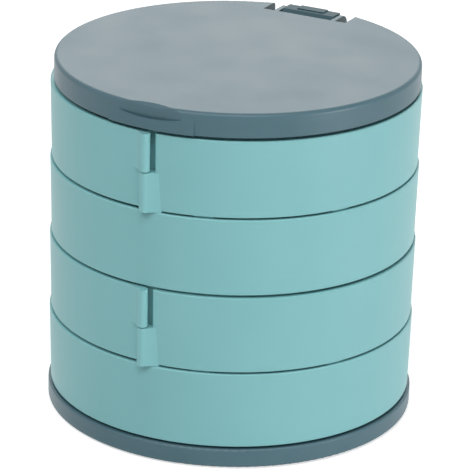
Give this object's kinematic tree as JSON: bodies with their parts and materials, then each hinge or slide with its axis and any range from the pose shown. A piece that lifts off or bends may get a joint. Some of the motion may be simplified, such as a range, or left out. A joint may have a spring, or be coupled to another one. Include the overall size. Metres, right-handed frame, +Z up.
{
  "type": "rotating jewelry organizer",
  "caption": "Round stacked jewelry organizer with cup trays that swing out on alternate side hinges and a hinged lid with a mirror inside.",
  "frame": {"origin": "centre of the closed stack on the surface that its feet stand on", "axes": "+Z up along the stack; -Y is the side of the front swing hinges and the lid's thumb lip; +Y is the side of the lid's hinge"},
  "size_m": [0.1056, 0.1088, 0.1051],
  "materials": {
    "mint_plastic": "satin moulded ABS",
    "slate_plastic": "satin moulded ABS",
    "mirror_glass": "silvered glass",
    "tape": "foam tape",
    "foot_rubber": "matt",
    "steel": "plain"
  },
  "bodies": {
    "base": {"base_shell": "slate_plastic", "base_feet": "foot_rubber", "hinge_wall_4": "mint_plastic", "pivot_pin_4": "steel", "wall_screws_4": "steel"},
    "layer_4": {"tray_4": "mint_plastic", "hinge_wall_3": "mint_plastic", "pivot_pin_3": "steel", "wall_screws_3": "steel"},
    "layer_3": {"tray_3": "mint_plastic", "hinge_wall_2": "mint_plastic", "pivot_pin_2": "steel", "wall_screws_2": "steel"},
    "layer_2": {"tray_2": "mint_plastic", "hinge_wall_1": "mint_plastic", "pivot_pin_1": "steel", "wall_screws_1": "steel"},
    "layer_1": {"tray_1": "mint_plastic", "lid_bracket": "slate_plastic", "lid_hinge_pin": "steel", "bracket_screws": "steel"},
    "lid": {"lid_shell": "slate_plastic", "lid_mirror": "mirror_glass", "mirror_tape": "tape"}
  },
  "joints": [
    {"name": "tray_4_swing", "type": "hinge", "parent": "base", "child": "layer_4", "pos_m": [0, 0.053, 0.01725], "axis": [0, 0, 1], "range_deg": [0, 150]},
    {"name": "tray_3_swing", "type": "hinge", "parent": "layer_4", "child": "layer_3", "pos_m": [0, -0.053, 0.03995], "axis": [0, 0, 1], "range_deg": [0, 150]},
    {"name": "tray_2_swing", "type": "hinge", "parent": "layer_3", "child": "layer_2", "pos_m": [0, 0.053, 0.06265], "axis": [0, 0, 1], "range_deg": [0, 150]},
    {"name": "tray_1_swing", "type": "hinge", "parent": "layer_2", "child": "layer_1", "pos_m": [0, -0.053, 0.08535], "axis": [0, 0, 1], "range_deg": [0, 150]},
    {"name": "lid_hinge", "type": "hinge", "parent": "layer_1", "child": "lid", "pos_m": [0.0004, 0.0466, 0.1014], "axis": [-1, 0, 0], "range_deg": [0, 105]}
  ]
}
